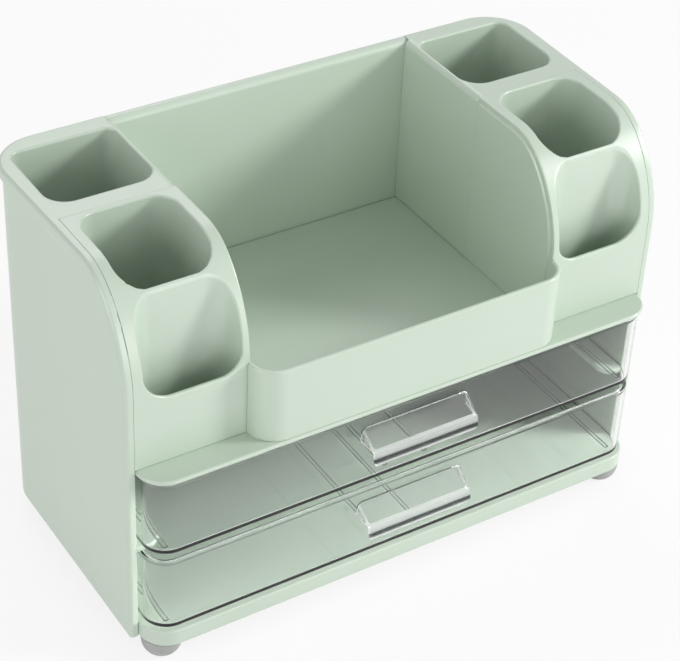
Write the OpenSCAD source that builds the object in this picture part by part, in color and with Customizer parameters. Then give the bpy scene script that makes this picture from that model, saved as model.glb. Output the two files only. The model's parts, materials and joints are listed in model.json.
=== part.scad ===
// Desk-top organizer with an open bin between two pocket towers, over two clear drawers.
// Millimetres, +Z up, +X to the right, front towards -Y.
// The origin is on the floor, under the middle of the overall box.

/* [Case] */
// Width over the outer faces of the side frames
body_w = 360; // [340:1:400]
// Depth of a side frame, front edge to back face
body_d = 170; // [160:1:190]
// Clear width of the open bin between the towers
bin_w = 210; // [196:1:220]
// Wall thickness of the side frames and the back panel
panel_t = 5; // [4:0.25:6]
// Outer radius of the upright rear corners
rear_corner_r = 28; // [20:1:30]
// How far the top rim flares out at the rear
rim_out = 2; // [1:0.25:4]
// Height of the flared top rim
rim_h = 8; // [5:0.5:12]
// How much lower the back panel's top edge is than the towers
back_drop = 2; // [1:0.5:6]

/* [Front curve] */
// Radius of the lower part of the towers' front curve
curve_r_low = 77.3; // [70:0.1:84]
// Radius of the upper part of the towers' front curve
curve_r_top = 38.7; // [32:0.1:44]
// Angle above the horizontal at which the two radii meet
curve_split = 45; // [38:1:52]

/* [Base and feet] */
// Height of a foot below the base
foot_h = 12; // [8:0.5:16]
// Diameter of a foot where it meets the base
foot_d_top = 24; // [20:0.5:26]
// Diameter of a foot where it meets the floor
foot_d_floor = 17; // [12:0.5:20]
// Diameter of the spigot that holds a foot
foot_spigot_d = 10; // [7:0.5:12]
// Length of the spigot that holds a foot
foot_spigot_l = 6; // [3:0.5:9]
// Distance of a foot's centre from the case's side
foot_side_inset = 18.5; // [17:0.5:26]
// Distance of a foot's centre from the base's front and back edges
foot_end_inset = 15; // [14:0.5:24]
// Height of the base tray
base_h = 12; // [11:0.5:20]
// Wall thickness of the base tray
base_t = 3; // [2:0.25:4]
// Wall thickness of the boss round a foot's spigot
boss_t = 3; // [2:0.25:4]
// How far the base, drawers and deck stand in front of the side frames
front_overhang = 18; // [12:0.5:24]
// Plan radius of the front corners of the base and the deck
front_corner_r = 18; // [12:0.5:24]

/* [Drawers] */
// Height of a drawer, with its glide ribs
drawer_h = 52; // [42:0.5:60]
// Wall and floor thickness of a drawer
drawer_t = 2.2; // [1.6:0.1:3]
// Thickness of a drawer's rim
drawer_rim_t = 3.6; // [3.2:0.1:5]
// Height of a drawer's rim
drawer_rim_h = 3; // [2:0.25:5]
// Gap between a drawer and each side frame
drawer_side_gap = 3; // [1.5:0.25:4]
// Gap between a drawer and what is above it
drawer_top_gap = 1.5; // [1:0.25:3]
// Gap between a closed drawer and the back panel
drawer_rear_gap = 2; // [1:0.25:6]
// How far a drawer's front stays behind the base's front edge
drawer_setback = 2.5; // [1:0.25:5]
// Height of the glide ribs under a drawer
rib_h = 1.2; // [0.8:0.1:2]
// Width of a glide rib
rib_w = 2.5; // [1.5:0.25:4]
// Distance of the inner pair of glide ribs from the middle
rib_mid_x = 14; // [8:1:24]
// How far the outer glide ribs stay inside the runner's inner edge
rib_runner_lap = 2; // [1:0.25:6]
// Running gap between a drawer and what it slides on
slide_gap = 0.25; // [0.2:0.05:0.6]

/* [Drawer runners] */
// Thickness of a drawer runner
runner_t = 3.5; // [2.5:0.25:5]
// How far a drawer runner stands out from its side frame
runner_w = 17.5; // [14:0.5:22]
// Plan radius of a runner's inner front corner
runner_corner_r = 10; // [5:0.5:13]

/* [Drawer pulls] */
// Width of a pull at the drawer's front
pull_w = 75; // [66:1:95]
// Width of a pull at its lip
pull_lip_w = 73; // [62:1:75]
// How far a pull stands out from the drawer's front
pull_reach = 15; // [12:0.5:20]
// Height of a pull at the drawer's front
pull_h = 20; // [18:0.5:26]
// Height of a pull's lip
pull_lip_h = 10; // [7:0.5:12]
// Wall thickness of a pull
pull_t = 2.4; // [1.8:0.1:3]
// Corner radius of a pull, seen from the front
pull_corner_r = 8; // [5:0.5:12]
// Distance of a pull's top from the drawer's top
pull_drop = 7.5; // [1:0.25:10]
// Width of the tabs that hold a pull
pull_tab_w = 8; // [5:0.5:12]
// Thickness of the tabs that hold a pull
pull_tab_t = 2; // [1.5:0.25:3]

/* [Deck and bin] */
// Thickness of the deck over the drawers
deck_t = 3; // [2.5:0.25:4]
// Height of the towers above the deck
tower_h = 116; // [106:1:130]
// Height of the bin's front wall above the deck
bin_wall_h = 49; // [38:1:56]
// Thickness of the bin's front wall
bin_wall_t = 3; // [2.25:0.25:4]
// How far the bin's front wall stays behind the deck's front edge
bin_setback = 1; // [0.5:0.25:3]
// How far the bin wall's legs run back along the towers
bin_leg = 12; // [8:1:24]

/* [Towers] */
// Depth of a front caddy
caddy_d = 85; // [80:1:92]
// Wall of a caddy against its side frame
caddy_side_t = 4.7; // [3.5:0.1:6]
// Other walls of a caddy
caddy_t = 2.6; // [2:0.1:3.5]
// Floor thickness of the caddies and rear cups
cup_floor_t = 3; // [2:0.25:4]
// Depth of a caddy's front pocket, front to back
front_pocket_d = 16.5; // [14:0.5:22]
// Height of the front pocket's lip above the deck
front_lip_h = 44; // [34:1:50]
// Corner radius of the pockets
pocket_r = 14; // [8:0.5:16]
// Depth of the flange between a caddy and the rear cup
flange_d = 10; // [8:0.5:14]
// Thickness of that flange
flange_t = 3; // [2:0.25:5]
// Wall thickness of the rear cups
cup_t = 3.2; // [2.4:0.1:4]

/* [Fits] */
// Clearance between pieces that plug together
fit = 0.2; // [0.1:0.05:0.3]
// Depth of the tongues that plug into the side frames
tongue_d = 2.5; // [1.5:0.25:3]
// Length of the tongues that plug into the side frames
tongue_l = 36; // [20:1:44]
// Length of the tabs that plug into the deck
tab_l = 14; // [8:0.5:20]
// Thickness of the tabs that plug into the deck
tab_t = 2; // [1.5:0.25:2.5]
// Depth of the tabs that plug into the deck
tab_d = 2.2; // [1.5:0.1:2.4]
// Depth of the tongues along the back panel's sides
back_tongue = 6; // [4:0.5:9]

/* [Hidden] */
$fn = 64;
// A length that passes right through any wall
through = 400;
// How far a cut passes the face that it opens
over = 1;
// Share of an arc's radius by which its cutting shape stands outside it
arc_margin = 0.2;

mint = "#cfe3d2";
clear_tint = "#d8e0dc80";
foot_grey = "#a9adab";

// Sideways places, measured from the middle
x_out = body_w / 2;
x_in = x_out - panel_t;
x_bin = bin_w / 2;
x_plate = x_in - fit;
x_drawer = x_in - drawer_side_gap;
x_rib_out = x_in - runner_w + rib_runner_lap + rib_w / 2;
x_foot = x_out - foot_side_inset;

// Places from front to back
y_front = (pull_reach + front_overhang - drawer_setback - body_d - rim_out) / 2;
y_back = y_front + body_d;
y_back_in = y_back - panel_t;
y_plate_rear = y_back_in - fit;
y_base_front = y_front - front_overhang;
y_drawer_front = y_base_front + drawer_setback;
y_drawer_rear = y_back_in - drawer_rear_gap;
y_bin_front = y_base_front + bin_setback;
y_seam = y_front + caddy_d;
y_caddy_rear = y_seam - fit;
y_partition = y_front + caddy_t + front_pocket_d;
y_cup_front = y_seam + flange_d;
y_foot_front = y_base_front + foot_end_inset;
y_foot_rear = y_plate_rear - foot_end_inset;

// Heights above the floor
z_base = foot_h;
z_base_top = z_base + base_h;
z_lower = z_base_top + slide_gap;
z_runner = z_lower + drawer_h + drawer_top_gap;
z_upper = z_runner + runner_t + slide_gap;
z_deck = z_upper + drawer_h + drawer_top_gap;
z_deck_top = z_deck + deck_t;
z_top = z_deck_top + tower_h;
z_back_top = z_top - back_drop;
z_front_lip = z_deck_top + front_lip_h;
z_cup_floor = z_deck_top + cup_floor_t;

// Centres of the front curve's two arcs, as [y, z]
curve_step = curve_r_low - curve_r_top;
curve_low = [y_front + curve_r_low, z_top - curve_r_top - curve_step * sin(curve_split)];
curve_top = curve_low + curve_step * [-cos(curve_split), sin(curve_split)];

// Plan radii that follow the base's front corners and the case's rear corners
drawer_front_r = front_corner_r - drawer_setback;
drawer_rear_r = rear_corner_r - panel_t - drawer_rear_gap;
bin_corner_r = front_corner_r - bin_setback;
plate_rear_r = rear_corner_r - panel_t - fit;

// The back panel's side tongues are the middle third of its thickness
back_tongue_t = panel_t / 3;

// Centres of the tongues along a side frame
tongue_ys = [y_front + tongue_l, y_back_in - tongue_l];

// Tabs under the bin's front wall and under a caddy
bin_tab_xs = [-bin_w / 4, 0, bin_w / 4];
caddy_tab_ys = [y_front + caddy_d / 4, y_front + 3 * caddy_d / 4];
caddy_mid_x = (x_plate + x_bin) / 2;

// A foot is a slice of a ball
foot_ball_z = (foot_d_top * foot_d_top - foot_d_floor * foot_d_floor) / 8 / foot_h + foot_h / 2;
foot_ball_r = sqrt(foot_d_floor * foot_d_floor / 4 + foot_ball_z * foot_ball_z);

// Rectangle between two corners
module rect(low, high) {
    translate(low) square(high - low);
}

// Rectangle with its own radius at the front corners and at the rear corners
module rounded_rect(low, high, r_front, r_rear) {
    rect([low[0], low[1] + r_front], [high[0], high[1] - r_rear]);
    rect([low[0] + r_front, low[1]], [high[0] - r_front, low[1] + r_front]);
    rect([low[0] + r_rear, high[1] - r_rear], [high[0] - r_rear, high[1]]);
    for (x = [low[0] + r_front, high[0] - r_front]) translate([x, low[1] + r_front]) circle(r_front);
    for (x = [low[0] + r_rear, high[0] - r_rear]) translate([x, high[1] - r_rear]) circle(r_rear);
}

// Box between two corners
module block(low, high) {
    translate(low) cube(high - low);
}

// Upright prism of a plan outline
module upright(z_low, z_high) {
    translate([0, 0, z_low]) linear_extrude(z_high - z_low) children();
}

// Prism of a [y, z] outline, running sideways
module sideways(x_low, x_high) {
    translate([x_low, 0, 0]) rotate([90, 0, 90]) linear_extrude(x_high - x_low) children();
}

// Prism of an [x, z] outline, running front to back
module lengthways(y_low, y_high) {
    translate([0, y_high, 0]) rotate([90, 0, 0]) linear_extrude(y_high - y_low) children();
}

// The segment of a disc that lies outside the chord between two angles
module disc_segment(centre, r, from, to) {
    ray_from = [cos(from), sin(from)];
    ray_to = [cos(to), sin(to)];
    outside = r * (1 + arc_margin);
    intersection() {
        translate(centre) circle(r);
        polygon([centre + r * ray_from, centre + outside * ray_from,
            centre + outside * ray_to, centre + r * ray_to]);
    }
}

// Side outline of a tower in [y, z]: upright front, two arcs and a level top
module tower_outline(y_rear, z_low) {
    arc_joint = curve_low + curve_r_low * [-cos(curve_split), sin(curve_split)];
    polygon([[y_front, z_low], [y_rear, z_low], [y_rear, z_top],
        [curve_top[0], z_top], arc_joint, [y_front, curve_low[1]]]);
    disc_segment(curve_low, curve_r_low, 180, 180 - curve_split);
    disc_segment(curve_top, curve_r_top, 180 - curve_split, 90);
}

// Plan of a plate that fills the case and stands out in front of it, drawn in by a wall
module plate_plan(inset) {
    rounded_rect([-x_plate + inset, y_base_front + inset], [x_plate - inset, y_plate_rear - inset],
        front_corner_r - inset, plate_rear_r - inset);
}

// Tongues on both sides of a plate, and the slots for one side
module side_tongues(z_low, z_high) {
    for (side = [-1, 1], y = tongue_ys)
        block([side < 0 ? -x_in - tongue_d : x_plate - over, y - tongue_l / 2, z_low],
            [side < 0 ? -x_plate + over : x_in + tongue_d, y + tongue_l / 2, z_high]);
}

module side_slots(z_low, z_high) {
    for (y = tongue_ys)
        block([-x_in - tongue_d - fit, y - tongue_l / 2 - fit, z_low - fit],
            [-x_in + over, y + tongue_l / 2 + fit, z_high + fit]);
}

// Plan of the left side frame's wall: side, rounded rear corner and the return along the back
module side_wall_plan(grow) {
    r = rear_corner_r;
    inner_r = r - panel_t;
    corner = [-x_out + r, y_back - r];
    difference() {
        union() {
            rect([-x_out - grow, corner[1]], [-x_in, corner[1] - over]);
            rect([corner[0], y_back_in], [-x_bin, y_back + grow]);
            intersection() {
                translate(corner) circle(r + grow);
                rect(corner + [-through, 0], corner + [0, through]);
            }
        }
        intersection() {
            translate(corner) circle(inner_r);
            rect(corner + [-through, 0], corner + [0, through]);
        }
    }
}

// Pocket plan of the left rear cup
module rear_cup_plan() {
    rounded_rect([-x_in + cup_t, y_cup_front + cup_t], [-x_bin - cup_t, y_back_in - cup_t],
        pocket_r, pocket_r);
}

// Left side frame: side panel, rear corner and rear cup in one moulding
module left_side_shape() {
    r = rear_corner_r;
    corner_y = y_back - r;
    rim_z = z_top - rim_h;
    difference() {
        union() {
            sideways(-x_out, -x_in) tower_outline(corner_y, z_base);
            upright(z_base, z_top) side_wall_plan(0);
            upright(rim_z, z_top) side_wall_plan(rim_out);
            upright(rim_z, z_top)
                polygon([[-x_out, curve_top[0]], [-x_in, curve_top[0]], [-x_in, corner_y],
                    [-x_out - rim_out, corner_y]]);
            upright(z_deck_top, z_top) intersection() {
                rect([-x_in, y_cup_front], [-x_bin, y_back_in]);
                rounded_rect([-x_out, y_front], [x_out, y_back], panel_t, r);
            }
            block([-x_in, y_seam, z_top - flange_t], [-x_bin, y_cup_front, z_top]);
            block([-x_bin - cup_t, y_seam, z_deck_top], [-x_bin, y_cup_front, z_top]);
        }
        upright(z_cup_floor, z_top + over) rear_cup_plan();
        side_slots(z_base_top - base_t, z_base_top);
        side_slots(z_runner, z_runner + runner_t);
        side_slots(z_deck, z_deck_top);
        block([-x_bin - back_tongue - fit, y_back - panel_t / 2 - back_tongue_t / 2 - fit, z_base - over],
            [-x_bin + over, y_back - panel_t / 2 + back_tongue_t / 2 + fit, z_back_top + fit]);
    }
}

module left_side_frame() {
    color(mint) left_side_shape();
}

module right_side_frame() {
    color(mint) mirror([1, 0, 0]) left_side_shape();
}

// Back panel between the two returns, held by a tongue along each side
module back_panel() {
    x_edge = x_bin - fit;
    y_mid = y_back - panel_t / 2;
    color(mint) {
        block([-x_edge, y_back_in, z_base], [x_edge, y_back, z_back_top]);
        block([-x_edge, y_back - panel_t / 2, z_top - rim_h], [x_edge, y_back + rim_out, z_back_top]);
        block([-x_bin - back_tongue, y_mid - back_tongue_t / 2, z_base],
            [x_bin + back_tongue, y_mid + back_tongue_t / 2, z_back_top]);
    }
}

// Base tray: a shallow box, open below, with a boss over each foot
module base_tray() {
    foot_hole_d = foot_spigot_d + 2 * fit;
    color(mint) difference() {
        union() {
            difference() {
                upright(z_base, z_base_top) plate_plan(0);
                upright(z_base - over, z_base_top - base_t) plate_plan(base_t);
            }
            side_tongues(z_base_top - base_t, z_base_top);
            foot_places() cylinder(d = foot_hole_d + 2 * boss_t, h = base_h - base_t / 2);
        }
        foot_places() translate([0, 0, -over]) cylinder(d = foot_hole_d, h = foot_spigot_l + fit + over);
    }
}

// The four feet's places on the base's underside
module foot_places() {
    for (x = [-x_foot, x_foot], y = [y_foot_front, y_foot_rear]) translate([x, y, z_base]) children();
}

// Deck over the drawers, with slots for the towers and the bin wall
module drawer_deck() {
    color(mint) difference() {
        union() {
            upright(z_deck, z_deck_top) plate_plan(0);
            side_tongues(z_deck, z_deck_top);
        }
        bin_tabs(fit);
        for (side = [0, 1]) mirror([side, 0, 0]) caddy_tabs(fit);
    }
}

// Tabs of the bin wall and of the left caddy, grown by a clearance to make their slots
module bin_tabs(grow) {
    y_mid = y_bin_front + bin_wall_t / 2;
    for (x = bin_tab_xs)
        block([x - tab_l / 2 - grow, y_mid - tab_t / 2 - grow, z_deck_top - tab_d - grow],
            [x + tab_l / 2 + grow, y_mid + tab_t / 2 + grow, z_deck_top + over]);
}

module caddy_tabs(grow) {
    for (y = caddy_tab_ys)
        block([-caddy_mid_x - tab_l / 2 - grow, y - tab_t / 2 - grow, z_deck_top - tab_d - grow],
            [-caddy_mid_x + tab_l / 2 + grow, y + tab_t / 2 + grow, z_deck_top + over]);
}

// Left front caddy: curved face with a middle pocket from above and a front pocket cut into the face
module left_caddy_shape() {
    x_low = -x_plate + caddy_side_t;
    x_high = -x_bin - caddy_t;
    difference() {
        sideways(-x_plate, -x_bin) tower_outline(y_caddy_rear, z_deck_top);
        upright(z_cup_floor, z_top + over)
            rounded_rect([x_low, y_partition + caddy_t], [x_high, y_caddy_rear - caddy_t], pocket_r, pocket_r);
        intersection() {
            upright(z_cup_floor, z_top + over)
                rounded_rect([x_low, y_front - 2 * pocket_r], [x_high, y_partition], pocket_r, pocket_r);
            union() {
                block([x_low, y_front + caddy_t, z_cup_floor], [x_high, y_partition, z_top]);
                lengthways(y_front - over, y_partition)
                    rounded_rect([x_low, z_front_lip], [x_high, z_top + 2 * pocket_r], pocket_r, pocket_r);
            }
        }
    }
    caddy_tabs(0);
}

module left_front_caddy() {
    color(mint) left_caddy_shape();
}

module right_front_caddy() {
    color(mint) mirror([1, 0, 0]) left_caddy_shape();
}

// Front wall of the bin, with rounded corners and a leg along each tower
module bin_front_wall() {
    x_edge = x_bin - fit;
    y_rear = y_front + bin_leg;
    r = bin_corner_r;
    color(mint) {
        upright(z_deck_top, z_deck_top + bin_wall_h) difference() {
            rounded_rect([-x_edge, y_bin_front], [x_edge, y_rear + r], r, bin_wall_t);
            rounded_rect([-x_edge + bin_wall_t, y_bin_front + bin_wall_t],
                [x_edge - bin_wall_t, y_rear + 2 * r], r - bin_wall_t, bin_wall_t);
            rect([-x_edge - over, y_rear], [x_edge + over, y_rear + 2 * r]);
        }
        bin_tabs(0);
    }
}

// Runner that carries the left side of the upper drawer
module left_runner_shape() {
    x_edge = -x_in + runner_w;
    r = runner_corner_r;
    upright(z_runner, z_runner + runner_t) intersection() {
        plate_plan(0);
        union() {
            rect([-x_plate, y_front], [x_edge - r, y_front + r]);
            rect([-x_plate, y_front + r], [x_edge, y_plate_rear]);
            translate([x_edge - r, y_front + r]) circle(r);
        }
    }
    for (y = tongue_ys)
        block([-x_in - tongue_d, y - tongue_l / 2, z_runner],
            [-x_plate + over, y + tongue_l / 2, z_runner + runner_t]);
}

module left_drawer_runner() {
    color(mint) left_runner_shape();
}

module right_drawer_runner() {
    color(mint) mirror([1, 0, 0]) left_runner_shape();
}

// Plan of a drawer, drawn in by a wall
module drawer_plan(inset) {
    rounded_rect([-x_drawer + inset, y_drawer_front + inset], [x_drawer - inset, y_drawer_rear - inset],
        drawer_front_r - inset, drawer_rear_r - inset);
}

// Clear drawer: thin box with a thicker rim, glide ribs below and slots for its pull
module drawer_shape(z_low) {
    z_high = z_low + drawer_h;
    z_floor = z_low + rib_h;
    rib_end = drawer_front_r;
    difference() {
        upright(z_floor, z_high) drawer_plan(0);
        upright(z_floor + drawer_t, z_high - drawer_rim_h) drawer_plan(drawer_t);
        upright(z_high - drawer_rim_h - over, z_high + over) drawer_plan(drawer_rim_t);
        pull_tabs(z_high, fit);
    }
    for (x = [-x_rib_out, -rib_mid_x, rib_mid_x, x_rib_out])
        block([x - rib_w / 2, y_drawer_front + rib_end / 2, z_low],
            [x + rib_w / 2, y_drawer_rear - rib_end, z_floor]);
}

module upper_drawer() {
    color(clear_tint) drawer_shape(z_upper);
}

module lower_drawer() {
    color(clear_tint) drawer_shape(z_lower);
}

// Tabs that hold a pull in the drawer's front, grown by a clearance to make their slots
module pull_tabs(z_rim, grow) {
    z_mid = z_rim - pull_drop - pull_h / 2;
    for (x = [-pull_w / 4, pull_w / 4])
        block([x - pull_tab_w / 2 - grow, y_drawer_front - pull_t / 2, z_mid - pull_tab_t / 2 - grow],
            [x + pull_tab_w / 2 + grow, y_drawer_front + drawer_t + grow, z_mid + pull_tab_t / 2 + grow]);
}

// Body of a pull: the overlap of its side, front and plan outlines, each drawn in by a wall
module pull_body(z_high, inset) {
    z_low = z_high - pull_h;
    y_lip = y_drawer_front - pull_reach;
    slope = atan2(pull_h - pull_lip_h, pull_reach);
    drop = inset / cos(slope);
    half_w = pull_w / 2 - inset;
    half_lip = pull_lip_w / 2 - inset;
    intersection() {
        sideways(-half_w, half_w)
            polygon([[y_drawer_front - inset, z_low - inset], [y_lip + inset, z_low - inset],
                [y_lip + inset, z_low + pull_lip_h + inset * tan(slope) - drop],
                [y_drawer_front - inset, z_high - inset * tan(slope) - drop]]);
        lengthways(y_lip, y_drawer_front)
            rounded_rect([-half_w, z_low - pull_h], [half_w, z_high - inset], pull_t, pull_corner_r - inset);
        upright(z_low - pull_h, z_high)
            polygon([[-half_w, y_drawer_front], [-half_lip, y_lip], [half_lip, y_lip], [half_w, y_drawer_front]]);
    }
}

// Clear pull: a sloping hood with a lip, open below for the fingers
module pull_shape(z_rim) {
    difference() {
        pull_body(z_rim - pull_drop, 0);
        pull_body(z_rim - pull_drop, pull_t);
    }
    pull_tabs(z_rim, 0);
}

module upper_drawer_pull() {
    color(clear_tint) pull_shape(z_upper + drawer_h);
}

module lower_drawer_pull() {
    color(clear_tint) pull_shape(z_lower + drawer_h);
}

// Soft foot: a slice of a ball with a spigot that plugs into the base
module foot(x, y) {
    color(foot_grey) translate([x, y, 0]) {
        intersection() {
            translate([0, 0, foot_ball_z]) sphere(foot_ball_r);
            cylinder(r = 2 * foot_ball_r, h = foot_h);
        }
        cylinder(d = foot_spigot_d, h = foot_h + foot_spigot_l);
    }
}

left_side_frame();
right_side_frame();
back_panel();
base_tray();
drawer_deck();
left_front_caddy();
right_front_caddy();
bin_front_wall();
left_drawer_runner();
right_drawer_runner();
upper_drawer();
upper_drawer_pull();
lower_drawer();
lower_drawer_pull();
foot(-x_foot, y_foot_front);  // foot_front_left
foot(x_foot, y_foot_front);  // foot_front_right
foot(-x_foot, y_foot_rear);  // foot_rear_left
foot(x_foot, y_foot_rear);  // foot_rear_right
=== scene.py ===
"""Looks of a desk-top organizer with two clear drawers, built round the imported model.

Each moulding is written as a field: the signed distance to its surface in millimetres, negative inside.
The fields round every edge as a mould does, and skin() turns one into a mesh of quads.
"""
import json

import bpy
import numpy as np
from mathutils import Matrix, Vector


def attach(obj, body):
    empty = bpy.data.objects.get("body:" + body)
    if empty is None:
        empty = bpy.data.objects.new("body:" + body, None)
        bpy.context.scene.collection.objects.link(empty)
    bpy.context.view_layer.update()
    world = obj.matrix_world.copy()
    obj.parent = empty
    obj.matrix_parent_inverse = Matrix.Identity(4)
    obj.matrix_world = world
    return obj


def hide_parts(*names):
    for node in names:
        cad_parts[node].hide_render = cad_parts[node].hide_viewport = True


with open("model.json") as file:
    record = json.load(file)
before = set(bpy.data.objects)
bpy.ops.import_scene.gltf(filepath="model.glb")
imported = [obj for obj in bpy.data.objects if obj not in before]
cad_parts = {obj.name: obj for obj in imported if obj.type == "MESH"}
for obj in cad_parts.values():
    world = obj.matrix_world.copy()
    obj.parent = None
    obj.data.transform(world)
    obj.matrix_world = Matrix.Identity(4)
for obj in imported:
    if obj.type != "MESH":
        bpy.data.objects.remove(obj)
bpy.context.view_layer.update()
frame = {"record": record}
MM = 0.001

# Sizes of the case in millimetres
X_OUT = 180.0
PANEL_T = 5.0
X_IN = X_OUT - PANEL_T
FIT = 0.2
X_PLATE = X_IN - FIT
X_BIN = 105.0
X_TOWER = 102.2
Y_FRONT = -70.75
Y_BACK = 99.25
Y_BACK_IN = Y_BACK - PANEL_T
REAR_R = 28.0
RIM_OUT = 2.0
RIM_H = 8.0
RIM_SOFT = 1.5
CURVE_R_LOW = 77.3
CURVE_R_TOP = 38.7
Z_BASE = 12.0
BASE_H = 12.0
BASE_T = 3.0
OVERHANG = 18.0
Y_BASE_FRONT = Y_FRONT - OVERHANG
FRONT_R = 18.0
Y_PLATE_REAR = Y_BACK_IN - FIT
PLATE_REAR_R = REAR_R - PANEL_T - FIT

# Drawers and runners
Z_LOWER = 24.25
Z_UPPER = 81.5
DRAWER_H = 52.0
DRAWER_T = 2.2
DRAWER_FLOOR_T = 1.2
DRAWER_RIM_T = 3.0
DRAWER_RIM_H = 3.0
DRAWER_RIM_SOFT = 0.5
X_DRAWER = 172.0
DRAWER_SETBACK = 2.5
DRAWER_REAR_GAP = 2.0
Y_DRAWER_FRONT = Y_BASE_FRONT + DRAWER_SETBACK
Y_DRAWER_REAR = Y_BACK_IN - DRAWER_REAR_GAP
DRAWER_FRONT_R = FRONT_R - DRAWER_SETBACK
DRAWER_REAR_R = REAR_R - PANEL_T - DRAWER_REAR_GAP
RIB_H = 1.2
RIB_W = 2.5
RIB_SINK = 0.5
RIB_XS = (14.0, 160.75)
Z_RUNNER = 77.75
RUNNER_T = 3.5
RUNNER_W = 17.5
RUNNER_R = 10.0

# Pulls. Drops are measured down from the drawer's rim, reaches out from its front
HOOD_DROP = 8.0
HOOD_H = 11.0
HOOD_SPLAY = 1.0
HOOD_R = 4.0
HOOD_T = 1.4
LIP_T = 2.0
LIP_W = 73.0
LIP_DROP = 17.3
LIP_H = 10.2
LIP_REACH_TOP = 13.5
LIP_REACH = 15.0
LIP_FLARE_H = 6.5
LIP_BEND_R = 3.0
LIP_TOP_R = 2.0
LIP_LOW_R = 3.0
PULL_GAP = 0.08

# Deck, bin and towers
Z_DECK = 135.0
Z_DECK_TOP = 138.0
Z_TOP = 254.0
BACK_DROP = 0.3
BACK_GAP = 0.05
BIN_WALL_H = 49.0
BIN_WALL_T = 3.0
BIN_SETBACK = 1.0
BIN_GAP = 0.06
Y_BIN_FRONT = Y_BASE_FRONT + BIN_SETBACK
BIN_R = FRONT_R - BIN_SETBACK
Y_SEAM = Y_FRONT + 85.0
Y_CUP_FRONT = Y_SEAM + 10.0
FLANGE_T = 3.0
CUP_T = 3.2
CUP_BIN_T = 3.8
CUP_FLOOR = Z_DECK_TOP + 3.0
CUP_REAR_R = 7.0
Y_CUP_REAR = Y_BACK_IN - 6.5
POCKET_R = 14.0
CADDY_SIDE_T = 6.5
CADDY_SIDE_GAP = 0.1
CADDY_T = 2.6
CADDY_GAP = 0.05
CADDY_BIN_T = 8.2
MOUTH_R = 18.0
Y_PARTITION = Y_FRONT + CADDY_T + 16.5
Z_FRONT_LIP = Z_DECK_TOP + 44.0

# Step in the caddies' faces on the bin side, in a band along the curve
EDGE_STEP = 0.9
EDGE_BAND = 4.0
EDGE_SOFT = 0.8

# Feet and the bosses over them
FOOT_D_TOP = 24.0
FOOT_D_FLOOR = 17.0
X_FOOT = X_OUT - 18.5
Y_FEET = (Y_BASE_FRONT + 15.0, Y_PLATE_REAR - 15.0)
BOSS_R = 8.2
BOSS_FILLET = 3.5

# Radii of edges and of inner corners
RIM_EDGE_R = 2.2
TOWER_EDGE_R = 4.5
BACK_EDGE_R = 2.3
LOWER_EDGE_R = 0.8
CADDY_EDGE_R = 0.8
DECK_EDGE_R = 1.3
BASE_TOP_R = 1.2
BASE_LOW_R = 2.0
BIN_EDGE_R = 1.4
SEAM_R = 0.12
POCKET_FLOOR_R = 4.0
FRONT_FLOOR_R = 3.0
CUP_MOUTH_R = 1.6
CADDY_MOUTH_R = 1.2

# Length that carries a cut well past a face
PAST = 40.0


# Field operations

def meet(a, b, r):
    """Overlap of two fields, with the edge between them rounded to radius r."""
    corner = np.hypot(np.maximum(a + r, 0), np.maximum(b + r, 0))
    return np.minimum(np.maximum(a, b), -r) + corner


def join(a, b, r):
    """Union of two fields, with the inner corner between them filled to radius r."""
    corner = np.hypot(np.maximum(r - a, 0), np.maximum(r - b, 0))
    return np.maximum(np.minimum(a, b), r) - corner


def cut(a, b, r):
    """Field a without field b, with the edge rounded to radius r."""
    return meet(a, -b, r)


def between(u, low, high):
    """Slab between two planes."""
    return np.maximum(low - u, u - high)


def rounded_rect(u, v, low, high, r_low, r_high):
    """Rectangle in (u, v) with its own corner radius on the low-v and the high-v side."""
    r = np.where(v > (low[1] + high[1]) / 2, r_high, r_low)
    du = np.abs(u - (low[0] + high[0]) / 2) - (high[0] - low[0]) / 2 + r
    dv = np.abs(v - (low[1] + high[1]) / 2) - (high[1] - low[1]) / 2 + r
    return np.minimum(np.maximum(du, dv), 0) + np.hypot(np.maximum(du, 0), np.maximum(dv, 0)) - r


def ramp(u, low, high):
    """Smooth step from 0 at low to 1 at high."""
    t = np.clip((u - low) / (high - low), 0, 1)
    return t * t * (3 - 2 * t)


# Meshing

LEAST_STEP = 0.05
GRID_SHIFT = 0.0137
SETTLE_ROUNDS = 6


def planes(low, high, coarse, *fine):
    """Grid planes from low to high: coarse steps, and finer ones in each (from, to, step) stretch."""
    out = [low]
    while out[-1] < high:
        at = out[-1]
        step = coarse
        for start, end, small in fine:
            if start <= at < end:
                step = min(step, small)
            elif at < start < at + step:
                step = start - at
        out.append(at + max(step, LEAST_STEP))
    return np.array(out) + GRID_SHIFT


def gradient(field, p, h=0.01):
    """Central differences of a field at points p."""
    out = np.empty_like(p)
    for axis in range(3):
        step = np.zeros(3)
        step[axis] = h
        out[:, axis] = (field(*(p + step).T) - field(*(p - step).T)) / (2 * h)
    return out


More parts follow.
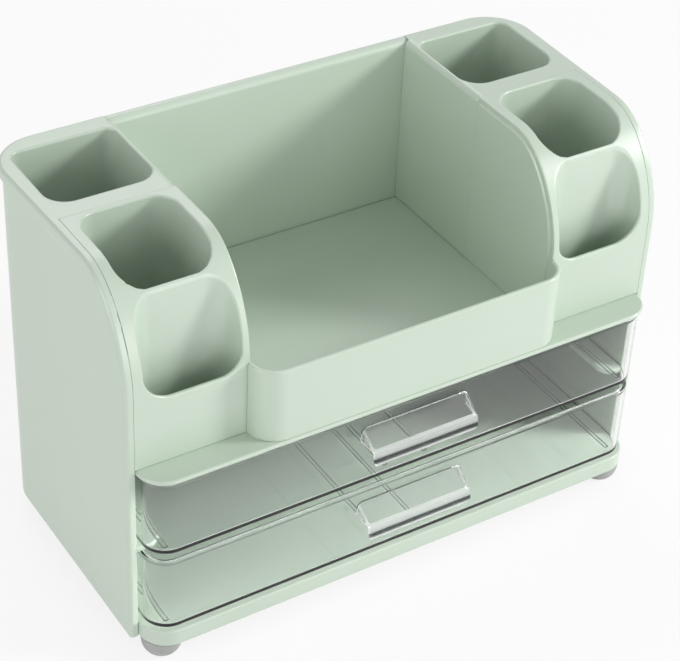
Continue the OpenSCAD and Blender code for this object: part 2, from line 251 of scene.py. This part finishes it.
def skin(name, field, xs, ys, zs, flip=False):
    """Mesh of a field's surface: one vertex in each grid cell that it crosses, pulled onto the surface."""
    axes = (xs, ys, zs)
    grid = np.meshgrid(xs, ys, zs, indexing="ij")
    value = field(*grid)
    inside = value < 0
    cells = tuple(n - 1 for n in value.shape)
    total = np.zeros(cells + (3,))
    count = np.zeros(cells)
    quads = []
    crossings = []
    for axis in range(3):
        head = [slice(None)] * 3
        tail = [slice(None)] * 3
        head[axis] = slice(0, -1)
        tail[axis] = slice(1, None)
        head = tuple(head)
        tail = tuple(tail)
        crossed = inside[head] != inside[tail]
        change = np.where(crossed, value[head] - value[tail], 1.0)
        share = np.where(crossed, value[head] / change, 0.0)
        crossings.append((crossed, inside[head]))
        side_a, side_b = [a for a in range(3) if a != axis]
        for i in (0, 1):
            for j in (0, 1):
                pick = [slice(None)] * 3
                pick[side_a] = slice(i, i + cells[side_a])
                pick[side_b] = slice(j, j + cells[side_b])
                pick = tuple(pick)
                mask = crossed[pick]
                count += mask
                for k in range(3):
                    low = grid[k][head][pick]
                    high = grid[k][tail][pick]
                    total[..., k] += mask * (low + share[pick] * (high - low))
    used = count > 0
    index = np.full(cells, -1)
    index[used] = np.arange(used.sum())
    points = total[used] / count[used][:, None]
    sizes = np.stack(np.meshgrid(*[np.diff(a) for a in axes], indexing="ij"), -1)[used]
    for _ in range(SETTLE_ROUNDS):
        slope = gradient(field, points)
        step = field(*points.T)[:, None] * slope / np.maximum((slope * slope).sum(1), 1e-6)[:, None]
        points = points - np.clip(step, -0.5 * sizes, 0.5 * sizes)
    normals = gradient(field, points)
    normals /= np.maximum(np.linalg.norm(normals, axis=1), 1e-9)[:, None]
    for axis in range(3):
        crossed, starts_inside = crossings[axis]
        order = (axis, (axis + 1) % 3, (axis + 2) % 3)
        crossed = np.transpose(crossed, order)
        starts_inside = np.transpose(starts_inside, order)
        around = np.transpose(index, order)
        i, j, k = np.nonzero(crossed[:, 1:-1, 1:-1])
        corners = (around[i, j, k], around[i, j + 1, k], around[i, j + 1, k + 1], around[i, j, k + 1])
        loop = np.stack(corners, 1)
        outward = starts_inside[:, 1:-1, 1:-1][i, j, k]
        quads.append(np.where(outward[:, None], loop, loop[:, ::-1]))
    quads = np.concatenate(quads)
    if flip:
        points = points * (-1, 1, 1)
        normals = normals * (-1, 1, 1)
        quads = quads[:, ::-1]
    mesh = bpy.data.meshes.new(name)
    mesh.from_pydata((points * MM).tolist(), [], quads.tolist())
    mesh.shade_smooth()
    mesh.normals_split_custom_set_from_vertices(normals.tolist())
    return mesh


# Fields of the mouldings. The towers and runners are written for the left side and mirrored for the right

CURVE_STEP = CURVE_R_LOW - CURVE_R_TOP
CURVE_LOW_Y = Y_FRONT + CURVE_R_LOW
CURVE_LOW_Z = Z_TOP - CURVE_R_TOP - CURVE_STEP * np.sqrt(0.5)
CURVE_TOP_Y = CURVE_LOW_Y - CURVE_STEP * np.sqrt(0.5)
CURVE_TOP_Z = CURVE_LOW_Z + CURVE_STEP * np.sqrt(0.5)


def tower_face(y, z):
    """Upright front, two arcs that meet at 45 degrees, and a level top."""
    low_y = CURVE_LOW_Y - y
    low_z = z - CURVE_LOW_Z
    top_y = CURVE_TOP_Y - y
    top_z = z - CURVE_TOP_Z
    upper = np.where(top_y > 0, np.hypot(top_y, top_z) - CURVE_R_TOP, z - Z_TOP)
    arcs = np.where(low_z <= low_y, np.hypot(low_y, low_z) - CURVE_R_LOW, upper)
    return np.where(low_z <= 0, Y_FRONT - y, arcs)


def case_plan(x, y):
    """Outer plan of the case: a flat side and a rounded rear corner."""
    u = -x - X_OUT + REAR_R
    v = y - Y_BACK + REAR_R
    return np.minimum(np.maximum(u, v), 0) + np.hypot(np.maximum(u, 0), np.maximum(v, 0)) - REAR_R


def full_rim(z):
    """How far the top rim stands out along the back."""
    return RIM_OUT * ramp(z, Z_TOP - RIM_H - RIM_SOFT, Z_TOP - RIM_H + RIM_SOFT)


def rim_flare(y, z):
    """How far the top rim stands out along a side: nothing at the front, full at the rear corner."""
    along = np.clip((y - CURVE_TOP_Y) / (Y_BACK - REAR_R - CURVE_TOP_Y), 0, 1)
    return along * full_rim(z)


def side_frame(x, y, z):
    """Side panel, rounded rear corner, back return and rear cup."""
    plan = case_plan(x, y)
    block = meet(plan - rim_flare(y, z), tower_face(y, z), RIM_EDGE_R)
    block = meet(block, Z_BASE - z, LOWER_EDGE_R)
    shell = cut(meet(block, x + X_BIN, 0.3), plan + PANEL_T, 0.25)
    cup = np.maximum(Y_CUP_FRONT - y, Z_DECK_TOP - z)
    flange = np.maximum(Y_SEAM - y, Z_TOP - FLANGE_T - z)
    web = np.maximum(np.maximum(Y_SEAM - y, -X_TOWER - CUP_T - x), Z_DECK_TOP - z)
    tower = meet(block, x + X_TOWER, TOWER_EDGE_R)
    tower = meet(tower, np.minimum(np.minimum(cup, flange), web), SEAM_R)
    tower = cut(tower, np.maximum(-X_BIN - x, Y_BACK_IN - BACK_GAP - y), 0.1)
    pocket = rounded_rect(x, y, (-X_IN + CUP_T, Y_CUP_FRONT + CUP_T), (-X_TOWER - CUP_BIN_T, Y_CUP_REAR),
                          POCKET_R, CUP_REAR_R)
    return cut(np.minimum(shell, tower), meet(pocket, CUP_FLOOR - z, POCKET_FLOOR_R), CUP_MOUTH_R)


def front_caddy(x, y, z):
    """Curved face with a middle pocket from above and a front pocket cut into the face."""
    y_rear = Y_SEAM - CADDY_GAP
    x_low = -X_PLATE + CADDY_SIDE_T
    x_high = -X_BIN - CADDY_T
    face = tower_face(y, z)
    step = EDGE_STEP * ramp(face, -EDGE_BAND - EDGE_SOFT, -EDGE_BAND + EDGE_SOFT)
    block = meet(face, x + X_TOWER + step, CADDY_EDGE_R)
    block = meet(block, meet(-X_IN + CADDY_SIDE_GAP - x, y - y_rear, 1.0), SEAM_R)
    block = meet(block, Z_DECK_TOP - z, 0.6)
    middle = rounded_rect(x, y, (x_low, Y_PARTITION + CADDY_T), (-X_TOWER - CADDY_BIN_T, y_rear - CADDY_T),
                          POCKET_R, POCKET_R)
    block = cut(block, meet(middle, CUP_FLOOR - z, POCKET_FLOOR_R), CADDY_MOUTH_R)
    plan = rounded_rect(x, y, (x_low, Y_FRONT - PAST), (x_high, Y_PARTITION), POCKET_R, POCKET_R)
    window = meet(meet(x_low - x, Z_FRONT_LIP - z, MOUTH_R), x - x_high, POCKET_R)
    front = meet(plan, join(Y_FRONT + CADDY_T - y, window, 1.2), 0.5)
    return cut(block, meet(front, CUP_FLOOR - z, FRONT_FLOOR_R), CADDY_MOUTH_R)


def plate_plan(x, y):
    """Plan of a plate that fills the case and stands out in front of it."""
    return rounded_rect(x, y, (-X_PLATE, Y_BASE_FRONT), (X_PLATE, Y_PLATE_REAR), FRONT_R, PLATE_REAR_R)


def base_tray(x, y, z):
    """Shallow box, open below, with a boss over each foot that runs into the corner walls."""
    plan = plate_plan(x, y)
    top = Z_BASE + BASE_H
    block = meet(meet(plan, z - top, BASE_TOP_R), Z_BASE - z, BASE_LOW_R)
    hollow = meet(plan + BASE_T, z - top + BASE_T, 1.0)
    nearest_y = np.minimum(np.abs(y - Y_FEET[0]), np.abs(y - Y_FEET[1]))
    boss = np.hypot(np.abs(x) - X_FOOT, nearest_y) - BOSS_R
    post = np.maximum(boss, z - top + BASE_T / 2)
    return meet(join(-hollow, post, BOSS_FILLET), block, 0.3)


def drawer_deck(x, y, z):
    """Plate over the drawers."""
    return meet(plate_plan(x, y), between(z, Z_DECK, Z_DECK_TOP), DECK_EDGE_R)


def back_panel(x, y, z):
    """Plate between the returns, with the rim along its top."""
    block = meet(y - Y_BACK - full_rim(z), z - Z_TOP + BACK_DROP, BACK_EDGE_R)
    block = meet(block, Y_BACK_IN - y, TOWER_EDGE_R)
    block = meet(block, np.abs(x) - X_BIN + FIT, 0.4)
    return meet(block, Z_BASE - z, LOWER_EDGE_R)


def bin_front_wall(x, y, z):
    """Low wall with rounded corners that ends at the towers' faces."""
    plan = rounded_rect(x, y, (-X_BIN + FIT, Y_BIN_FRONT), (X_BIN - FIT, Y_BACK), BIN_R, BIN_R)
    wall = np.abs(plan + BIN_WALL_T / 2) - BIN_WALL_T / 2
    wall = meet(wall, z - Z_DECK_TOP - BIN_WALL_H, BIN_EDGE_R)
    wall = meet(wall, y - Y_FRONT + BIN_GAP, 0.2)
    return meet(wall, Z_DECK_TOP - z, 0.4)


def drawer_runner(x, y, z):
    """Ledge along the left side with a rounded front corner."""
    plan = rounded_rect(y, x, (Y_FRONT, -X_PLATE - PAST), (Y_PLATE_REAR + PAST, -X_IN + RUNNER_W),
                        RUNNER_R, RUNNER_R)
    plan = np.maximum(plan, plate_plan(x, y))
    return meet(plan, between(z, Z_RUNNER, Z_RUNNER + RUNNER_T), 0.8)


def drawer(z_low):
    """Clear box with a thicker rim and glide ribs below."""
    z_floor = z_low + RIB_H
    z_high = z_low + DRAWER_H
    z_rim = z_high - DRAWER_RIM_H

    def field(x, y, z):
        plan = rounded_rect(x, y, (-X_DRAWER, Y_DRAWER_FRONT), (X_DRAWER, Y_DRAWER_REAR),
                            DRAWER_FRONT_R, DRAWER_REAR_R)
        block = meet(meet(plan, z - z_high, 0.5), z_floor - z, 0.7)
        thicker = (DRAWER_RIM_T - DRAWER_T) * ramp(z, z_rim - DRAWER_RIM_SOFT, z_rim + DRAWER_RIM_SOFT)
        hollow = meet(plan + DRAWER_T + thicker, z_floor + DRAWER_FLOOR_T - z, 1.2)
        box = cut(block, hollow, 0.4)
        for rib_x in RIB_XS:
            rib = meet(np.abs(np.abs(x) - rib_x) - RIB_W / 2, z_low - z, 0.5)
            rib = np.maximum(rib, z - z_floor - RIB_SINK)
            length = between(y, Y_DRAWER_FRONT + DRAWER_FRONT_R / 2, Y_DRAWER_REAR - DRAWER_FRONT_R)
            box = np.minimum(box, meet(rib, length, 0.5))
        return box

    return field


def pull(z_rim):
    """Sloping hood between two cheeks, open below for the fingers, with a flared lip along its front."""
    fall = LIP_DROP - HOOD_DROP
    slant = np.hypot(LIP_REACH_TOP, fall)
    splay = LIP_REACH / np.hypot(LIP_REACH, HOOD_SPLAY)
    flare = np.hypot(LIP_REACH - LIP_REACH_TOP, LIP_FLARE_H)
    flare_out = LIP_FLARE_H / flare
    flare_up = (LIP_REACH - LIP_REACH_TOP) / flare

    def field(x, y, z):
        out = Y_DRAWER_FRONT - PULL_GAP - y
        down = z_rim - z
        slope = (out - LIP_REACH_TOP) * flare_out - (down - LIP_DROP) * flare_up
        face = meet(slope, out - LIP_REACH, LIP_BEND_R)
        roof = (out * fall - (down - HOOD_DROP) * LIP_REACH_TOP) / slant
        cheek = (np.abs(x) - LIP_W / 2 - HOOD_SPLAY * (1 - out / LIP_REACH)) * splay
        outer = meet(meet(roof, face, 1.2), cheek, HOOD_R)
        inner = meet(meet(roof + HOOD_T, face + HOOD_T, 0.6), cheek + HOOD_T, HOOD_R - HOOD_T)
        hood = meet(meet(cut(outer, inner, 0.4), down - HOOD_DROP - HOOD_H, 0.5), -out, 0.15)
        plate = np.abs(face + LIP_T / 2) - LIP_T / 2
        ends = rounded_rect(x, down, (-LIP_W / 2, LIP_DROP), (LIP_W / 2, LIP_DROP + LIP_H),
                            LIP_TOP_R, LIP_LOW_R)
        return join(hood, meet(plate, ends, 0.7), 0.5)

    return field


def foot(x_mid, y_mid):
    """Slice of a ball with a soft lower edge."""
    ball_z = (FOOT_D_TOP ** 2 - FOOT_D_FLOOR ** 2) / 8 / Z_BASE + Z_BASE / 2
    ball_r = np.hypot(FOOT_D_FLOOR / 2, ball_z)

    def field(x, y, z):
        ball = np.sqrt((x - x_mid) ** 2 + (y - y_mid) ** 2 + (z - ball_z) ** 2) - ball_r
        return meet(meet(ball, -z, 1.5), z - Z_BASE, 0.5)

    return field


# Materials

WHITE = (1, 1, 1)
BLACK = (0, 0, 0)
MINT = ((0.537, 0.632, 0.531), (0.549, 0.646, 0.543))
CLEAR = ((0.955, 0.965, 0.96), (0.97, 0.98, 0.975))
RUBBER = ((0.36, 0.37, 0.36), (0.42, 0.43, 0.42))
PULL_CLEAR = (0.95, 0.96, 0.955)
# Painted shade: dark tint for a band of the pull's lip, standing in for the dark refraction seen there
PULL_PAINTED_SHADE = (0.12, 0.13, 0.13)
PASSING = (0.98, 0.985, 0.98, 1)
MINT_IOR = 1.72
CLEAR_IOR = 1.5

# Noise values between which a tone or a number runs from one end to the other
NOISE_LOW = 0.3
NOISE_HIGH = 0.7


def new_material(name):
    """A material with its node tree and its Principled shader."""
    material = bpy.data.materials.new(name)
    material.use_nodes = True
    tree = material.node_tree
    shader = tree.nodes["Principled BSDF"]
    return material, tree, shader


def noise_node(tree, scale, detail):
    """Noise in object space, so that it has the same size on every piece."""
    place = tree.nodes.new("ShaderNodeTexCoord")
    noise = tree.nodes.new("ShaderNodeTexNoise")
    noise.inputs["Scale"].default_value = scale
    noise.inputs["Detail"].default_value = detail
    tree.links.new(place.outputs["Object"], noise.inputs["Vector"])
    return noise


def stops_node(tree, stops, source):
    """Colour ramp with the given (position, colour) stops in rising order, driven by a number."""
    node = tree.nodes.new("ShaderNodeValToRGB")
    elements = node.color_ramp.elements
    for place in (0, 1):
        elements[place].position = stops[place][0]
        elements[place].color = stops[place][1] + (1,)
    for position, colour in stops[2:]:
        elements.new(position).color = colour + (1,)
    tree.links.new(source, node.inputs["Fac"])
    return node


def tone(tree, noise, colours, socket):
    """A colour that wanders between two tones."""
    low, high = colours
    mix = stops_node(tree, ((NOISE_LOW, low), (NOISE_HIGH, high)), noise.outputs["Fac"])
    tree.links.new(mix.outputs["Color"], socket)


def spread(tree, noise, low, high, socket):
    """A number that wanders between two values."""
    mix = tree.nodes.new("ShaderNodeMapRange")
    mix.inputs["From Min"].default_value = NOISE_LOW
    mix.inputs["From Max"].default_value = NOISE_HIGH
    mix.inputs["To Min"].default_value = low
    mix.inputs["To Max"].default_value = high
    tree.links.new(noise.outputs["Fac"], mix.inputs["Value"])
    tree.links.new(mix.outputs["Result"], socket)


def grain(tree, shader, scale, strength, depth):
    """Fine bump of the moulded surface."""
    bump = tree.nodes.new("ShaderNodeBump")
    bump.inputs["Strength"].default_value = strength
    bump.inputs["Distance"].default_value = depth
    tree.links.new(noise_node(tree, scale, 2).outputs["Fac"], bump.inputs["Height"])
    tree.links.new(bump.outputs["Normal"], shader.inputs["Normal"])


def let_lamp_light_pass(tree, shader):
    """Makes a clear shader see-through for shadow rays, so that lamps light what lies behind it."""
    passing = tree.nodes.new("ShaderNodeBsdfTransparent")
    passing.inputs["Color"].default_value = PASSING
    path = tree.nodes.new("ShaderNodeLightPath")
    mix = tree.nodes.new("ShaderNodeMixShader")
    tree.links.new(path.outputs["Is Shadow Ray"], mix.inputs["Fac"])
    tree.links.new(shader.outputs["BSDF"], mix.inputs[1])
    tree.links.new(passing.outputs["BSDF"], mix.inputs[2])
    tree.links.new(mix.outputs["Shader"], tree.nodes["Material Output"].inputs["Surface"])


def mint_plastic():
    """Satin plastic of the case."""
    material, tree, shader = new_material("mint_plastic")
    tone(tree, noise_node(tree, 14, 3), MINT, shader.inputs["Base Color"])
    spread(tree, noise_node(tree, 60, 3), 0.30, 0.32, shader.inputs["Roughness"])
    shader.inputs["IOR"].default_value = MINT_IOR
    grain(tree, shader, 900, 0.05, 0.0004)
    return material


def clear_plastic():
    """Clear plastic of the drawers."""
    material, tree, shader = new_material("clear_plastic")
    shader.inputs["IOR"].default_value = CLEAR_IOR
    tone(tree, noise_node(tree, 9, 2), CLEAR, shader.inputs["Base Color"])
    spread(tree, noise_node(tree, 40, 2), 0.01, 0.03, shader.inputs["Roughness"])
    shader.inputs["Transmission Weight"].default_value = 1.0
    let_lamp_light_pass(tree, shader)
    return material


def pull_plastic(name, z_rim):
    """Clear plastic of the pull below a rim, with a frosted grip, a band of painted shade that stands for
    the dark refraction under the lip, and a frosted edge.
    """
    material, tree, shader = new_material(name)
    shader.inputs["IOR"].default_value = CLEAR_IOR
    place = tree.nodes.new("ShaderNodeTexCoord")
    split = tree.nodes.new("ShaderNodeSeparateXYZ")
    tree.links.new(place.outputs["Object"], split.inputs["Vector"])
    height = tree.nodes.new("ShaderNodeMapRange")
    height.inputs["From Min"].default_value = (z_rim - LIP_DROP - LIP_H) * MM
    height.inputs["From Max"].default_value = (z_rim - LIP_DROP) * MM
    tree.links.new(split.outputs["Z"], height.inputs["Value"])
    frost_stops = ((0.15, WHITE), (0.19, BLACK), (0.46, BLACK), (0.50, WHITE),
                   (0.985, WHITE), (0.995, BLACK))
    frost = stops_node(tree, frost_stops, height.outputs["Result"])
    # The band tinted PULL_PAINTED_SHADE is painted shade, a dark colour put where the lip only shows dark
    # refraction
    tint_and_shade_stops = ((0.15, PULL_CLEAR), (0.19, PULL_PAINTED_SHADE), (0.45, PULL_PAINTED_SHADE), (0.50, PULL_CLEAR))
    clear_tint_and_painted_shade = stops_node(tree, tint_and_shade_stops, height.outputs["Result"])
    tree.links.new(clear_tint_and_painted_shade.outputs["Color"], shader.inputs["Base Color"])
    for socket, clear, frosted in (("Roughness", 0.02, 0.4), ("Transmission Weight", 1.0, 0.85)):
        level = tree.nodes.new("ShaderNodeMapRange")
        level.inputs["To Min"].default_value = clear
        level.inputs["To Max"].default_value = frosted
        tree.links.new(frost.outputs["Color"], level.inputs["Value"])
        tree.links.new(level.outputs["Result"], shader.inputs[socket])
    let_lamp_light_pass(tree, shader)
    return material


def foot_rubber():
    """Grey rubber of the feet."""
    material, tree, shader = new_material("foot_rubber")
    tone(tree, noise_node(tree, 120, 3), RUBBER, shader.inputs["Base Color"])
    spread(tree, noise_node(tree, 200, 3), 0.55, 0.70, shader.inputs["Roughness"])
    grain(tree, shader, 1500, 0.2, 0.0003)
    return material


MATERIALS = {
    "mint_plastic": mint_plastic(),
    "clear_plastic": clear_plastic(),
    "foot_rubber": foot_rubber(),
}
SLOTS = {part["node"]: part["material_slot"] for part in frame["record"]["subparts"]}
BODIES = {node: body for body, nodes in frame["record"]["behaviour"]["bodies"].items() for node in nodes}


def dress(node, mesh, material=None):
    """Shows a mesh in place of a solid, on the same body and in the same slot."""
    piece = bpy.data.objects.new(node + "_moulding", mesh)
    bpy.context.scene.collection.objects.link(piece)
    mesh.materials.append(material or MATERIALS[SLOTS[node]])
    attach(piece, BODIES[node])
    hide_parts(node)


# Pieces. Their grids are fine along edges and seams and coarse on flat walls

frame_xs = planes(-184, -101, 5, (-175.4, -174.6, 0.15), (-184, -170, 0.7), (-170, -156, 2),
                  (-124, -109, 2), (-110, -101, 0.6))
frame_ys = planes(-73, 103, 5, (-73, -66, 0.7), (-66, -15, 2.5), (14, 14.6, 0.12), (93.9, 94.5, 0.12),
                  (12, 30, 0.7), (30, 44, 2), (70, 82, 2), (82, 103, 0.7))
frame_zs = planes(10, 256, 8, (10, 15, 0.8), (136, 146, 0.8), (184, 242, 2.5), (242, 256, 0.6))
caddy_xs = planes(-177, -101, 4, (-175.4, -174.6, 0.15), (-177, -166, 0.6), (-166, -150, 1.5),
                  (-124, -111, 1.5), (-111, -101, 0.5))
caddy_ys = planes(-73, 17, 1.2, (-73, -64, 0.6), (-54, -46, 0.5), (13.9, 14.5, 0.12), (9, 17, 0.6))
caddy_zs = planes(136, 256, 4, (136, 147, 0.8), (178, 186, 0.6), (186, 246, 1.2), (246, 256, 0.6))
runner_xs = planes(-177, -155, 2, (-177, -172, 0.8), (-168, -155, 1))
runner_ys = planes(-73, 97, 8, (-73, -58, 1), (68, 97, 1.5))
runner_zs = planes(Z_RUNNER - 1.5, Z_RUNNER + RUNNER_T + 1.5, 0.5)
for side in ("left", "right"):
    for kind, field, grid_planes in (
        ("side_frame", side_frame, (frame_xs, frame_ys, frame_zs)),
        ("front_caddy", front_caddy, (caddy_xs, caddy_ys, caddy_zs)),
        ("drawer_runner", drawer_runner, (runner_xs, runner_ys, runner_zs)),
    ):
        node = side + "_" + kind
        dress(node, skin(node, field, *grid_planes, flip=side == "right"))

plate_xs = planes(-178, 178, 12, (-178, -145, 1.5), (145, 178, 1.5))
plate_ys = planes(-92, 98, 12, (-92, -66, 1.5), (65, 98, 1.5))
base_xs = planes(-178, 178, 12, (-178, -145, 1), (145, 178, 1))
base_ys = planes(-92, 98, 12, (-92, -62, 1), (65, 98, 1))
dress("base_tray", skin("base_tray", base_tray, base_xs, base_ys, planes(10, 26, 0.7)))
dress("drawer_deck", skin("drawer_deck", drawer_deck, plate_xs, plate_ys, planes(133.5, 139.5, 0.4)))
panel_xs = planes(-107, 107, 15, (-107, -102, 0.5), (102, 107, 0.5))
panel_zs = planes(10, 254, 15, (10, 14, 0.6), (242, 254, 0.6))
dress("back_panel", skin("back_panel", back_panel, panel_xs, planes(92, 104, 0.6), panel_zs))
wall_xs = planes(-107, 107, 10, (-107, -84, 0.8), (84, 107, 0.8))
wall_ys = planes(-90, -69, 0.8, (-72, -69, 0.4))
wall_zs = planes(136, 189, 8, (136, 140, 0.6), (184, 189, 0.4))
dress("bin_front_wall", skin("bin_front_wall", bin_front_wall, wall_xs, wall_ys, wall_zs))

box_xs = planes(-175, 175, 12, (-175, -167, 0.55), (-167, -150, 1.2), (-17, -11, 0.6), (11, 17, 0.6),
                (150, 167, 1.2), (167, 175, 0.55))
box_ys = planes(-89, 95, 12, (-89, -80, 0.55), (-80, -66, 1.2), (68, 87, 1.2), (87, 95, 0.55))
pull_xs = planes(-44, 44, 3, (-44, -26, 0.4), (26, 44, 0.4))
pull_ys = planes(-103, -85, 0.35)
for name, z_low in (("upper", Z_UPPER), ("lower", Z_LOWER)):
    node = name + "_drawer"
    box_zs = planes(z_low - 1.5, z_low + 54, 5, (z_low - 1.5, z_low + 5, 0.35),
                    (z_low + 47, z_low + 54, 0.45))
    dress(node, skin(node, drawer(z_low), box_xs, box_ys, box_zs))
    node = name + "_drawer_pull"
    z_rim = z_low + DRAWER_H
    pull_mesh = skin(node, pull(z_rim), pull_xs, pull_ys, planes(z_rim - 30, z_rim - 5, 0.4))
    dress(node, pull_mesh, pull_plastic(name + "_pull_plastic", z_rim))

for end, y_foot in (("front", Y_FEET[0]), ("rear", Y_FEET[1])):
    for side, x_foot in (("left", -X_FOOT), ("right", X_FOOT)):
        node = "foot_" + end + "_" + side
        foot_xs = planes(x_foot - 14, x_foot + 14, 0.9)
        foot_ys = planes(y_foot - 14, y_foot + 14, 0.9)
        dress(node, skin(node, foot(x_foot, y_foot), foot_xs, foot_ys, planes(-1.5, 13.5, 0.6)))

# Floor, light and camera, in metres

FLOOR = 6.0
FLOOR_COLOUR = (0.92, 0.92, 0.92, 1)
FLOOR_WHITE = 0.82
SKY_LEVEL = 0.35
LAMP_AIM = Vector((0, 0, 0.12))

scene = bpy.context.scene
floor_mesh = bpy.data.meshes.new("floor")
floor_corners = [(-FLOOR, -FLOOR, 0), (FLOOR, -FLOOR, 0), (FLOOR, FLOOR, 0), (-FLOOR, FLOOR, 0)]
floor_mesh.from_pydata(floor_corners, [], [(0, 1, 2, 3)])
floor = bpy.data.objects.new("floor", floor_mesh)
scene.collection.objects.link(floor)


def seen_directly(tree):
    """1 on camera, mirror and see-through rays, 0 on the rays that carry soft light."""
    path = tree.nodes.new("ShaderNodeLightPath")
    sight = tree.nodes.new("ShaderNodeMath")
    sight.operation = "MAXIMUM"
    glass = tree.nodes.new("ShaderNodeMath")
    glass.operation = "MAXIMUM"
    tree.links.new(path.outputs["Is Glossy Ray"], glass.inputs[0])
    tree.links.new(path.outputs["Is Transmission Ray"], glass.inputs[1])
    tree.links.new(path.outputs["Is Camera Ray"], sight.inputs[0])
    tree.links.new(glass.outputs["Value"], sight.inputs[1])
    return sight.outputs["Value"]


def level_by_sight(tree, hidden, seen, socket):
    """A number with one value for direct sight and another for soft light."""
    level = tree.nodes.new("ShaderNodeMapRange")
    level.inputs["To Min"].default_value = hidden
    level.inputs["To Max"].default_value = seen
    tree.links.new(seen_directly(tree), level.inputs["Value"])
    tree.links.new(level.outputs["Result"], socket)


floor_material, floor_tree, floor_shader = new_material("floor")
floor_shader.inputs["Base Color"].default_value = FLOOR_COLOUR
floor_shader.inputs["Roughness"].default_value = 0.9
floor_shader.inputs["Specular IOR Level"].default_value = 0.0
white = floor_tree.nodes.new("ShaderNodeEmission")
paper = floor_tree.nodes.new("ShaderNodeMixShader")
level_by_sight(floor_tree, 0.0, FLOOR_WHITE, paper.inputs["Fac"])
floor_tree.links.new(floor_shader.outputs["BSDF"], paper.inputs[1])
floor_tree.links.new(white.outputs["Emission"], paper.inputs[2])
floor_tree.links.new(paper.outputs["Shader"], floor_tree.nodes["Material Output"].inputs["Surface"])
floor_mesh.materials.append(floor_material)

world = bpy.data.worlds.new("studio")
scene.world = world
world.use_nodes = True
back = world.node_tree.nodes["Background"]
back.inputs["Color"].default_value = (1, 1, 1, 1)
level_by_sight(world.node_tree, SKY_LEVEL, 1.0, back.inputs["Strength"])


def area_light(name, place, size, power):
    """Soft square lamp that looks at the object."""
    light = bpy.data.lights.new(name, "AREA")
    light.size = size
    light.energy = power
    lamp = bpy.data.objects.new(name, light)
    lamp.location = place
    lamp.rotation_euler = (LAMP_AIM - Vector(place)).to_track_quat("-Z", "Y").to_euler()
    scene.collection.objects.link(lamp)


area_light("right", (1.6, -1.0, 1.0), 0.45, 26)
area_light("front", (0.2, -1.8, 0.5), 1.0, 8)
area_light("left", (-1.7, -0.3, 0.7), 1.0, 10.5)
area_light("rear", (0.3, 1.2, 1.5), 1.0, 7)

CAMERA_LENS = 108.80
CAMERA_PLACE = Vector((-557.4, -839.5, 874.7)) * MM
CAMERA_RIGHT = Vector((0.8484, -0.5277, 0.0418))
CAMERA_UP = Vector((0.2870, 0.5248, 0.8014))
CAMERA_BACK = Vector((-0.4449, -0.6679, 0.5966))

camera_data = bpy.data.cameras.new("camera")
camera_data.sensor_width = 36.0
camera_data.lens = CAMERA_LENS
camera_data.clip_end = 50.0
camera = bpy.data.objects.new("camera", camera_data)
turn = Matrix((CAMERA_RIGHT, CAMERA_UP, CAMERA_BACK)).transposed().to_4x4()
camera.matrix_world = Matrix.Translation(CAMERA_PLACE) @ turn
scene.collection.objects.link(camera)
scene.camera = camera
scene.view_settings.view_transform = "Standard"
